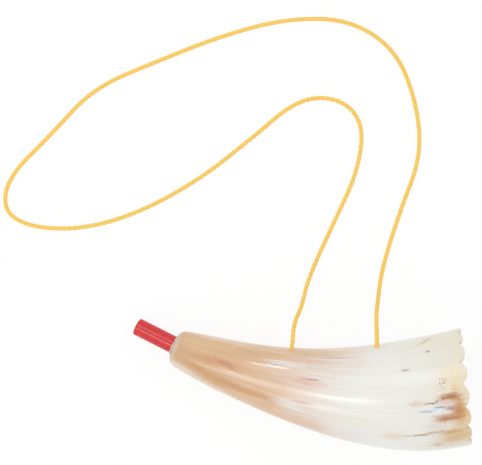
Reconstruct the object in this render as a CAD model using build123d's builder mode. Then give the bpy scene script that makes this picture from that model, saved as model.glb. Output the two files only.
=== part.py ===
"""Cattle-horn bugle with a straight tube mouthpiece, a beating reed and a neck cord.

The horn lies on its side on the plane Z = 0, its bell towards +X and its hollow
side towards +Y. The origin is the middle of the footprint of the horn and its
tube, without the cord. Millimetres, +Z up.
"""

import os
from math import atan, cos, degrees, hypot, pi, radians, sin, tan

from build123d import *

os.makedirs("parts", exist_ok=True)

# Horn axis seen from above: straight at the tip, then curling more and more.
# Its places are shares of the span, 0 at the tip and 1 just past the rim.
TIP_X = -85.5
TIP_Y = 24.6
SPAN = 208.5
TIP_SLOPE = -0.389
BEND = 0.163
CURL = 0.124

# Horn section: an ellipse, a little flatter towards the bell
TIP_HALF_WIDTH = 11.8
END_HALF_WIDTH = 38.7
TIP_FLATNESS = 0.95
END_FLATNESS = 0.86
TIP_ROUNDING = 4.0
# Share of the span, and share of the growth in width reached there
OUTER_GROWTH = [
    (0.0, 0.0), (0.1, 0.155), (0.22, 0.288), (0.4, 0.51),
    (0.6, 0.774), (0.78, 0.958), (0.88, 0.99), (1.0, 1.0),
]  # fmt: skip

# Hollow of the horn: the same ellipses, from the throat to the bell
RIM_WALL = 3.2
THROAT_SHARE = 0.21
THROAT_HALF_WIDTH = 7.0
AIRWAY_RADIUS = 3.0
INNER_GROWTH = [
    (0.0, 0.0), (0.09, 0.17), (0.23, 0.41), (0.38, 0.61),
    (0.61, 0.87), (0.88, 0.99), (1.0, 1.0),
]  # fmt: skip

# Rim: a slanting cut, nibbled into rounded scallops with pointed notches
RIM_SHARE = 0.936
RIM_SWING = 5.5
RIM_LEAN = 5.0
SCALLOPS = 16
SCALLOP_DEPTH = 3.6
SCALLOP_PHASE = 2.0

# Tube, pushed into the tip, its outer end nearer the table
TUBE_SWING = -26.2
TUBE_DROOP = 7.0
TUBE_OFFSET = 0.6
TUBE_RADIUS = 6.0
TUBE_SHOWING = 29.5
TUBE_END_ROUNDING = 1.0
MOUTH_BORE_RADIUS = 3.75
MOUTH_BORE_LENGTH = 26.5
SPIGOT_RADIUS = 5.25
SPIGOT_LENGTH = 18.0
SPIGOT_CLEARANCE = 0.1

# Ring of glue in a shallow neck at the foot of the tube
GLUE_HEIGHT = 1.2
GLUE_REACH = 1.1
GLUE_NECK_DEPTH = 0.3

# Reed in the tube's inner end: a half-round trough and a half-round wedge grip the tongue
CHAMBER_RADIUS = 4.25
REED_CLEARANCE = 0.1
REED_LENGTH = 18.0
WEDGE_LENGTH = 6.0
TROUGH_RADIUS = 1.6
TROUGH_END_WALL = 1.5
LAY_SLOPE = 3.0
TONGUE_THICKNESS = 0.2
TONGUE_WIDTH = 4.0
TONGUE_ROOT = 4.0
TONGUE_SETBACK = 0.6
GRIP_CLEARANCE = 0.25

# Cord holes, square to the horn's axis and drilled at a slope above level
FRONT_HOLE_SHARE = 0.355
REAR_HOLE_SHARE = 0.645
HOLE_RISE = 15.0
CORD_RADIUS = 1.5
HOLE_CLEARANCE = 0.2
CORD_LEAD = 5.0

# Stopper knots against the inside of the wall
KNOT_RADIUS = 3.9
KNOT_LENGTH = 7.0
KNOT_ROUNDING = 2.2
KNOT_SEAT_GAP = 0.8

# The cord's way over the table, from the front hole round to the rear hole
CORD_REST = CORD_RADIUS + 0.1
CORD_COMES_DOWN = [(-5, 44, 24), (1, 57, 7)]
CORD_ON_TABLE = [
    (6, 70.5), (21.5, 104.5), (40, 143.5), (44.5, 176.5), (29, 194.5),
    (0, 195), (-33.5, 166.5), (-69, 138.5), (-111, 115.5), (-149, 104.5),
    (-184, 105.5), (-204, 116.5), (-200.5, 140.5), (-171, 169.5), (-142, 201.5),
    (-97, 220.5), (-51, 238.5), (-8, 249.5), (34, 249), (66, 228.5),
    (80.5, 192.5), (84, 155.5), (70, 118.5), (62, 94.5), (56.5, 74.5),
]  # fmt: skip
CORD_LIFTS = [(53, 58.5, 15), (49.5, 45.5, 36)]
SHARE_OF_RUN_IN_ARC = 0.45


def growth_at(curve, share):
    """Growth reached at a share of the way, straight between the curve's points."""
    for (start, low), (stop, high) in zip(curve, curve[1:]):
        if share <= stop:
            return low + (high - low) * (share - start) / (stop - start)
    return 1.0


def outer_half_width(share):
    """Level half width of the horn at a share of the span."""
    return TIP_HALF_WIDTH + (END_HALF_WIDTH - TIP_HALF_WIDTH) * growth_at(OUTER_GROWTH, share)


def flatness(share):
    """Height of the section over its width at a share of the span."""
    return TIP_FLATNESS + (END_FLATNESS - TIP_FLATNESS) * share


def heading(share):
    """Compass direction of the horn's axis at a share of the span, in degrees."""
    return degrees(atan(TIP_SLOPE + 2 * BEND * share + 3 * CURL * share**2))


def section_plane(share):
    """Upright plane across the horn: local X towards the hollow side, local Y up.

    Its origin is as high as the section's half height, so that the horn touches
    the table along its whole length.
    """
    turn = radians(heading(share))
    origin = (
        TIP_X + SPAN * share,
        TIP_Y + SPAN * (TIP_SLOPE * share + BEND * share**2 + CURL * share**3),
        outer_half_width(share) * flatness(share),
    )
    return Plane(origin=origin, x_dir=(-sin(turn), cos(turn), 0), z_dir=(cos(turn), sin(turn), 0))


def tilted(plane, swing, rise):
    """Plane at the same origin that faces a compass swing and a rise, local X level."""
    swing, rise = radians(swing), radians(rise)
    return Plane(
        origin=plane.origin,
        x_dir=(-sin(swing), cos(swing), 0),
        z_dir=(cos(swing) * cos(rise), sin(swing) * cos(rise), sin(rise)),
    )


# Tip face, looking into the horn, and the foot of the tube, looking out to the mouth
tip_face = tilted(section_plane(0), heading(0), TUBE_DROOP)
tube_foot = tilted(tip_face.shift_origin(tip_face.origin + tip_face.x_dir * TUBE_OFFSET),
                   TUBE_SWING + 180, -TUBE_DROOP)
# The tube's own section from the side: local X outwards, local Y up
tube_side = Plane(origin=tube_foot.origin, x_dir=tube_foot.z_dir, z_dir=-tube_foot.x_dir)
rim_plane = tilted(section_plane(RIM_SHARE), RIM_SWING, RIM_LEAN)
hole_planes = {
    "front": tilted(section_plane(FRONT_HOLE_SHARE), heading(FRONT_HOLE_SHARE) + 90, HOLE_RISE),
    "rear": tilted(section_plane(REAR_HOLE_SHARE), heading(REAR_HOLE_SHARE) + 90, HOLE_RISE),
}


def notch_places():
    """Plane and half width of each notch: local X along the rim, local Y out of the bell."""
    wide = outer_half_width(RIM_SHARE)
    tall = wide * flatness(RIM_SHARE)
    for number in range(SCALLOPS):
        turn = 2 * pi * (number + 0.5) / SCALLOPS + radians(SCALLOP_PHASE)
        speed = hypot(wide * sin(turn), tall * cos(turn))
        along = (rim_plane.x_dir * (-wide * sin(turn)) + rim_plane.y_dir * (tall * cos(turn))) / speed
        place = rim_plane.from_local_coords((wide * cos(turn), tall * sin(turn), 0))
        yield (
            Plane(origin=place, x_dir=along, z_dir=along.cross(rim_plane.z_dir)),
            speed * pi / SCALLOPS,
        )


# ---------------------------------------------------------------- horn
with BuildPart() as hollow:
    for way, growth in INNER_GROWTH:
        share = THROAT_SHARE + (1 - THROAT_SHARE) * way
        inner = THROAT_HALF_WIDTH + (END_HALF_WIDTH - RIM_WALL - THROAT_HALF_WIDTH) * growth
        with BuildSketch(section_plane(share)):
            Ellipse(inner, inner * flatness(share))
    loft()

with BuildPart() as skin:
    with BuildSketch(tip_face):
        Ellipse(outer_half_width(0), outer_half_width(0) * flatness(0))
    for share, _ in OUTER_GROWTH[1:]:
        with BuildSketch(section_plane(share)):
            Ellipse(outer_half_width(share), outer_half_width(share) * flatness(share))
    loft()

NOTCH_CUT_IN = RIM_WALL + 6.0
NOTCH_CUT_OUT = 6.0
with BuildPart() as horn_body:
    add(skin.part)
    tip_edges = horn_body.faces().sort_by(Axis(tube_foot.origin, tube_foot.z_dir))[-1].edges()
    fillet(tip_edges, TIP_ROUNDING)
    add(hollow.part, mode=Mode.SUBTRACT)
    with BuildSketch(tube_foot):
        Circle(TUBE_RADIUS + GLUE_REACH)
    extrude(amount=TIP_HALF_WIDTH, mode=Mode.SUBTRACT)
    with BuildSketch(tube_foot):
        Circle(SPIGOT_RADIUS + SPIGOT_CLEARANCE)
    extrude(amount=-(SPIGOT_LENGTH + SPIGOT_CLEARANCE), mode=Mode.SUBTRACT)
    with BuildSketch(tube_foot):
        Circle(AIRWAY_RADIUS)
    throat = section_plane(THROAT_SHARE).origin
    extrude(amount=-((throat - tube_foot.origin).length + 1), mode=Mode.SUBTRACT)
    split(bisect_by=rim_plane, keep=Keep.BOTTOM)
    for notch_plane, half_chord in notch_places():
        lobe_radius = (half_chord**2 + SCALLOP_DEPTH**2) / (2 * SCALLOP_DEPTH)
        with BuildSketch(notch_plane.offset(-NOTCH_CUT_IN)):
            Rectangle(2 * half_chord, 2 * SCALLOP_DEPTH)
            with Locations((-half_chord, -lobe_radius), (half_chord, -lobe_radius)):
                Circle(lobe_radius, mode=Mode.SUBTRACT)
        extrude(amount=NOTCH_CUT_IN + NOTCH_CUT_OUT, mode=Mode.SUBTRACT)
    for drill in hole_planes.values():
        with BuildSketch(drill):
            Circle(CORD_RADIUS + HOLE_CLEARANCE)
        extrude(amount=2 * END_HALF_WIDTH, mode=Mode.SUBTRACT)

horn_body.part.label = "horn_body"
export_step(horn_body.part, "parts/horn_body.step")

# ---------------------------------------------------------------- tube and glue
with BuildPart() as mouthpiece_tube:
    with BuildSketch(tube_foot.offset(-SPIGOT_LENGTH)):
        Circle(SPIGOT_RADIUS)
    extrude(amount=SPIGOT_LENGTH)
    with BuildSketch(tube_foot):
        Circle(TUBE_RADIUS - GLUE_NECK_DEPTH)
    extrude(amount=GLUE_HEIGHT)
    with BuildSketch(tube_foot.offset(GLUE_HEIGHT)):
        Circle(TUBE_RADIUS)
    extrude(amount=TUBE_SHOWING - GLUE_HEIGHT)
    mouth_edge = mouthpiece_tube.edges().sort_by(Axis(tube_foot.origin, tube_foot.z_dir))[-1]
    fillet(mouth_edge, TUBE_END_ROUNDING)
    with BuildSketch(tube_foot.offset(TUBE_SHOWING)):
        Circle(MOUTH_BORE_RADIUS)
    extrude(amount=-MOUTH_BORE_LENGTH, mode=Mode.SUBTRACT)
    with BuildSketch(tube_foot.offset(TUBE_SHOWING - MOUTH_BORE_LENGTH)):
        Circle(CHAMBER_RADIUS)
    extrude(amount=-(SPIGOT_LENGTH + TUBE_SHOWING - MOUTH_BORE_LENGTH), mode=Mode.SUBTRACT)

mouthpiece_tube.part.label = "mouthpiece_tube"
export_step(mouthpiece_tube.part, "parts/mouthpiece_tube.step")

with BuildPart() as glue_bead:
    neck = TUBE_RADIUS - GLUE_NECK_DEPTH
    with BuildSketch(tube_side):
        with BuildLine():
            Line((0, neck), (0, TUBE_RADIUS + GLUE_REACH))
            RadiusArc((0, TUBE_RADIUS + GLUE_REACH), (GLUE_HEIGHT, TUBE_RADIUS), GLUE_REACH * 1.4)
            Polyline((GLUE_HEIGHT, TUBE_RADIUS), (GLUE_HEIGHT, neck), (0, neck))
        make_face()
    revolve(axis=Axis(tube_foot.origin, tube_foot.z_dir))

glue_bead.part.label = "glue_bead"
export_step(glue_bead.part, "parts/glue_bead.step")

# ---------------------------------------------------------------- reed
reed_radius = CHAMBER_RADIUS - REED_CLEARANCE
reed_back = tube_foot.offset(-SPIGOT_LENGTH)
grip_lip = WEDGE_LENGTH - SPIGOT_LENGTH
slot_depth = TONGUE_THICKNESS / 2 + GRIP_CLEARANCE
slot_width = TONGUE_WIDTH + 2 * GRIP_CLEARANCE
slot_length = TONGUE_ROOT + GRIP_CLEARANCE
lay_drop = REED_LENGTH * tan(radians(LAY_SLOPE))

with BuildPart() as reed_shallot:
    with BuildSketch(reed_back):
        Circle(reed_radius)
        Rectangle(
            2 * reed_radius, reed_radius, align=(Align.CENTER, Align.MIN), mode=Mode.SUBTRACT
        )
    extrude(amount=REED_LENGTH)
    with BuildSketch(reed_back):
        with Locations((0, -slot_depth)):
            Circle(TROUGH_RADIUS)
    extrude(amount=REED_LENGTH - TROUGH_END_WALL, mode=Mode.SUBTRACT)
    with BuildSketch(tube_side):
        with Locations((grip_lip, 0)):
            Rectangle(slot_length, 2 * slot_depth, align=(Align.MAX, Align.CENTER))
    extrude(amount=slot_width / 2, both=True, mode=Mode.SUBTRACT)
    with BuildSketch(tube_side):
        with BuildLine():
            Polyline(
                (grip_lip, 1),
                (grip_lip, -slot_depth),
                (grip_lip + REED_LENGTH, -slot_depth - lay_drop),
                (grip_lip + REED_LENGTH, 1),
                (grip_lip, 1),
            )
        make_face()
    extrude(amount=reed_radius + 1, both=True, mode=Mode.SUBTRACT)

reed_shallot.part.label = "reed_shallot"
export_step(reed_shallot.part, "parts/reed_shallot.step")

with BuildPart() as reed_wedge:
    with BuildSketch(reed_back):
        Circle(reed_radius)
        Rectangle(
            2 * reed_radius, reed_radius, align=(Align.CENTER, Align.MAX), mode=Mode.SUBTRACT
        )
    extrude(amount=WEDGE_LENGTH)
    with BuildSketch(tube_side):
        with Locations((grip_lip, 0)):
            Rectangle(slot_length, 2 * slot_depth, align=(Align.MAX, Align.CENTER))
    extrude(amount=slot_width / 2, both=True, mode=Mode.SUBTRACT)

reed_wedge.part.label = "reed_wedge"
export_step(reed_wedge.part, "parts/reed_wedge.step")

with BuildPart() as reed_tongue:
    with BuildSketch(tube_side):
        with Locations((grip_lip - TONGUE_ROOT, 0)):
            Rectangle(
                TONGUE_ROOT + REED_LENGTH - WEDGE_LENGTH - TONGUE_SETBACK,
                TONGUE_THICKNESS,
                align=(Align.MIN, Align.CENTER),
            )
    extrude(amount=TONGUE_WIDTH / 2, both=True)

reed_tongue.part.label = "reed_tongue"
export_step(reed_tongue.part, "parts/reed_tongue.step")


# ---------------------------------------------------------------- cord and knots
def way_out(shape, drill):
    """Distance along a cord hole's axis to where it leaves a solid's surface."""
    axis = Axis(drill.origin, drill.z_dir)
    hits = [hit for face in shape.faces() for hit, _ in face.find_intersection_points(axis)]
    return max((hit - drill.origin).dot(drill.z_dir) for hit in hits)


knot_planes = {}
cord_leads = {}
for name, drill in hole_planes.items():
    knot_planes[name] = drill.offset(way_out(hollow.part, drill) - KNOT_SEAT_GAP)
    cord_leads[name] = drill.offset(way_out(skin.part, drill) + CORD_LEAD).origin

with BuildPart() as front_knot:
    with BuildSketch(knot_planes["front"]):
        Circle(KNOT_RADIUS)
    extrude(amount=-KNOT_LENGTH)
    fillet(front_knot.edges().filter_by(GeomType.CIRCLE), KNOT_ROUNDING)

front_knot.part.label = "front_knot"
export_step(front_knot.part, "parts/front_knot.step")

with BuildPart() as rear_knot:
    with BuildSketch(knot_planes["rear"]):
        Circle(KNOT_RADIUS)
    extrude(amount=-KNOT_LENGTH)
    fillet(rear_knot.edges().filter_by(GeomType.CIRCLE), KNOT_ROUNDING)

rear_knot.part.label = "rear_knot"
export_step(rear_knot.part, "parts/rear_knot.step")

cord_points = [knot_planes["front"].origin, cord_leads["front"]]
cord_points += [Vector(*point) for point in CORD_COMES_DOWN]
cord_points += [Vector(x, y, CORD_REST) for x, y in CORD_ON_TABLE]
cord_points += [Vector(*point) for point in CORD_LIFTS]
cord_points += [cord_leads["rear"], knot_planes["rear"].origin]


def arc_radius(before, corner, after):
    """Largest radius that two runs leave room for, each giving its share to the arc."""
    run_in, run_out = corner - before, after - corner
    shorter = min(run_in.length, run_out.length)
    return SHARE_OF_RUN_IN_ARC * shorter / tan(radians(run_in.get_angle(run_out)) / 2)


cord_radii = [arc_radius(*trio) for trio in zip(cord_points, cord_points[1:], cord_points[2:])]

with BuildPart() as neck_cord:
    with BuildLine() as cord_path:
        FilletPolyline(*cord_points, radius=cord_radii)
    with BuildSketch(Plane(origin=cord_points[0], z_dir=cord_points[1] - cord_points[0])):
        Circle(CORD_RADIUS)
    sweep()

neck_cord.part.label = "neck_cord"
export_step(neck_cord.part, "parts/neck_cord.step")

cord_length = cord_path.wires()[0].length
print("cord length", round(cord_length, 1))
print("cord volume over section times length",
      round(neck_cord.part.volume / (pi * CORD_RADIUS**2 * cord_length), 5))
print("cord bend radii", [round(radius, 1) for radius in cord_radii])
print("cord ends and leads", cord_points[:2] + cord_points[-2:])
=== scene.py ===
"""Looks of a cattle-horn bugle with a red tube mouthpiece and a yellow neck cord.

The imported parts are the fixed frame: metres, +X from the mouthpiece to the bell, +Y towards
the hollow side of the bend, +Z up, with the horn lying on the table at Z = 0. Each sub-assembly
is a class that holds its sizes in millimetres, builds its own meshes and dresses them.
"""

import logging
import math
from collections.abc import Callable, Sequence
from dataclasses import dataclass, field
from enum import Enum
from typing import Any

import bpy
import numpy as np
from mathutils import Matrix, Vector


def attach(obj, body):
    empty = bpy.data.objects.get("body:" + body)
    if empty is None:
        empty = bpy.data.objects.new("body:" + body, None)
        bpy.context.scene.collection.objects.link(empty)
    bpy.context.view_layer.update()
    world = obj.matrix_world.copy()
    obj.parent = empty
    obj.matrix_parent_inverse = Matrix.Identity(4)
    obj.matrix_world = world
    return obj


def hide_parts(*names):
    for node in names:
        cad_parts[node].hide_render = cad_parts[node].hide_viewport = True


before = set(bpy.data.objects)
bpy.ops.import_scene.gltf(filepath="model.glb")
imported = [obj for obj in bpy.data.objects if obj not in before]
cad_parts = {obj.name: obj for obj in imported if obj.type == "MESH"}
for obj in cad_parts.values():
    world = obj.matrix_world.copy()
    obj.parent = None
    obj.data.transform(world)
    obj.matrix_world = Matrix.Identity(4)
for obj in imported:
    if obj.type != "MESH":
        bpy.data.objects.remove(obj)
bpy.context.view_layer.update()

MM = 0.001
LOG = logging.getLogger("bugle")
Triple = tuple[float, float, float]
Colour = tuple[float, float, float, float]
Tree, Node, Socket = bpy.types.NodeTree, bpy.types.Node, bpy.types.NodeSocket
Piece, Material, Array = bpy.types.Object, bpy.types.Material, np.ndarray
# where the red tube leaves the horn's tip, in mm, and the direction in which it points
TUBE_FOOT: Triple = (-85.28, 25.16, 11.21)
TUBE_WAY: Triple = (-0.89057, 0.438215, -0.121869)


# ------------------------------------------------------------------ small helpers
def linear(colour: str) -> Colour:
    """Turn an sRGB hex colour into linear light.

    Args:
        colour: Six hex digits, such as "e6d3b2".

    Returns:
        Linear red, green, blue and an alpha of 1.
    """
    shares = [int(colour[i : i + 2], 16) / 255 for i in (0, 2, 4)]
    light = [s / 12.92 if s <= 0.04045 else ((s + 0.055) / 1.055) ** 2.4 for s in shares]
    return (light[0], light[1], light[2], 1.0)


def feed(tree: Tree, node: Node, **settings: Any) -> Node:
    """Set a node's attributes and inputs.

    Args:
        tree: The node tree that holds the node.
        node: The node.
        settings: Attributes of the node, and its inputs as "i0", "i1" or "i_Socket_Name"; an
            input that is given a socket, or a node for its first output, is linked to it.

    Returns:
        The same node.
    """
    for name, value in settings.items():
        if not (name[1:].isdigit() or name.startswith("i_")):
            setattr(node, name, value)
            continue
        socket = node.inputs[int(name[1:]) if name[1:].isdigit() else name[2:].replace("_", " ")]
        if isinstance(value, Node):
            value = value.outputs[0]
        if isinstance(value, Socket):
            tree.links.new(value, socket)
        else:
            socket.default_value = value
    return node


def add(tree: Tree, kind: str, operation: str = "", /,
        ramp: Sequence[tuple[float, Colour]] = (), **settings: Any) -> Node:
    """Add a node with its settings and links.

    Args:
        tree: The node tree that gets the node.
        kind: The node's type name, without "ShaderNode" in front for a shader node.
        operation: The operation of a maths node.
        ramp: Stops of a colour ramp, as (place, linear colour) pairs.
        settings: The same as for feed.

    Returns:
        The new node.
    """
    prefix = "" if kind.startswith(("Geometry", "NodeGroup")) else "ShaderNode"
    node = tree.nodes.new(prefix + kind)
    if operation:
        node.operation = operation
    if ramp:
        stops = node.color_ramp.elements
        while len(stops) < len(ramp):
            stops.new(1.0)
        for stop, (place, colour) in zip(stops, ramp):
            stop.position, stop.color = place, colour
    return feed(tree, node, **settings)


def new_material(name: str) -> tuple[Material, Tree, Node]:
    """Make a material with one Principled shader.

    Args:
        name: What the material is and how its surface was made.

    Returns:
        The material, its node tree and its shader node.
    """
    material = bpy.data.materials.new(name)
    material.use_nodes = True
    tree = material.node_tree
    return material, tree, tree.nodes["Principled BSDF"]


def mesh_piece(name: str, points: Array, faces: list[tuple[int, ...]]) -> Piece:
    """Make a mesh object whose place is in its vertices.

    Args:
        name: Name of the piece.
        points: Vertices in metres.
        faces: Vertex numbers of each face.

    Returns:
        The linked object, at the origin.
    """
    mesh = bpy.data.meshes.new(name)
    mesh.from_pydata(points.tolist(), [], faces)
    mesh.validate()
    mesh.polygons.foreach_set("use_smooth", [True] * len(mesh.polygons))
    piece = bpy.data.objects.new(name, mesh)
    bpy.context.scene.collection.objects.link(piece)
    return piece


def nurbs_path(name: str, points: list[Triple]) -> Piece:
    """Make a NURBS curve of one open spline, with no thickness.

    Args:
        name: Name of the curve.
        points: Control points in metres.

    Returns:
        The linked curve object.
    """
    curve = bpy.data.curves.new(name, "CURVE")
    curve.dimensions = "3D"
    spline = curve.splines.new("NURBS")
    spline.points.add(len(points) - 1)
    for point, place in zip(spline.points, points):
        point.co = (*place, 1.0)
    spline.order_u = 3
    spline.use_endpoint_u = True
    spline.resolution_u = 24
    path = bpy.data.objects.new(name, curve)
    bpy.context.scene.collection.objects.link(path)
    return path


def bake_to_mesh(piece: Piece, name: str) -> Piece:
    """Turn a piece with its modifiers into a plain mesh piece, and remove the first.

    Args:
        piece: The object with its modifiers, or a curve.
        name: Name of the plain piece.

    Returns:
        The plain mesh piece.
    """
    graph = bpy.context.evaluated_depsgraph_get()
    mesh = bpy.data.meshes.new_from_object(piece.evaluated_get(graph))
    mesh.name = name
    bpy.data.objects.remove(piece)
    plain = bpy.data.objects.new(name, mesh)
    bpy.context.scene.collection.objects.link(plain)
    return plain


def frame_of(out: Vector) -> tuple[Vector, Vector, Vector]:
    """Unit vector along a direction, a level one across it and one square to both.

    Args:
        out: The direction.

    Returns:
        The three unit vectors.
    """
    out = out.normalized()
    side = out.cross(Vector((0, 0, 1))).normalized()
    return out, side, side.cross(out)


def through(stations: list[tuple[float, float]], at: Array) -> Array:
    """Natural cubic spline through a few stations.

    Args:
        stations: (place, value) pairs in rising order of place.
        at: Places to read.

    Returns:
        The value at each place.
    """
    x, y = (np.array(row, float) for row in zip(*stations))
    h, n = np.diff(x), len(x)
    lhs, rhs = np.eye(n), np.zeros(n)
    for k in range(1, n - 1):
        lhs[k, k - 1 : k + 2] = h[k - 1], 2 * (h[k - 1] + h[k]), h[k]
        rhs[k] = 6 * ((y[k + 1] - y[k]) / h[k] - (y[k] - y[k - 1]) / h[k - 1])
    bend = np.linalg.solve(lhs, rhs)
    k = np.clip(np.searchsorted(x, at) - 1, 0, n - 2)
    p, q = at - x[k], x[k + 1] - at
    return (
        (bend[k] * q**3 + bend[k + 1] * p**3) / (6 * h[k])
        + (y[k] / h[k] - bend[k] * h[k] / 6) * q
        + (y[k + 1] / h[k] - bend[k + 1] * h[k] / 6) * p
    )


# ------------------------------------------------------------------ finishes
class Field(Enum):
    """Named surface attributes that the finishes read."""

    GROWTH = "growth"
    DEPTH = "depth"
    STRAND = "strand"


@dataclass(frozen=True)
class Mark:
    """A soft-edged patch of colour on the horn's skin: most are natural marks, a few are painted
    highlight and painted edge reflection.

    Args:
        along: Middle of the mark, in mm along the axis from the tip.
        around: Middle of the mark, in degrees from the top, positive to the outer curve.
        length: Half length along the growth, in mm.
        width: Half width round the horn, in degrees.
        colour: sRGB colour.
        strength: Share of the colour at the mark's middle.
        slant: Degrees round the horn per mm along.
        fibre: How far the growth fibres break the mark up, 0 to 1.
    """

    along: float
    around: float
    length: float
    width: float
    colour: str
    strength: float
    slant: float = 0.0
    fibre: float = 0.4


@dataclass(frozen=True)
class Grain:
    """Growth coordinates and noises that the horn's finish is built from.

    Args:
        tree: The horn's node tree.
        place: Growth coordinates in mm: X along the axis, Y and Z round a circle.
        along: Distance along the axis, in mm.
        around: Degrees from the top, positive to the outer curve.
        drift: Two channels of slow noise.
        fibre: Noise drawn out far along the growth.
        hair: The same, much finer.
        fray: Fine noise that roughens the marks' edges.
    """

    tree: Tree
    place: Node
    along: Socket
    around: Node
    drift: Node
    fibre: Node
    hair: Node
    fray: Node


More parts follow.
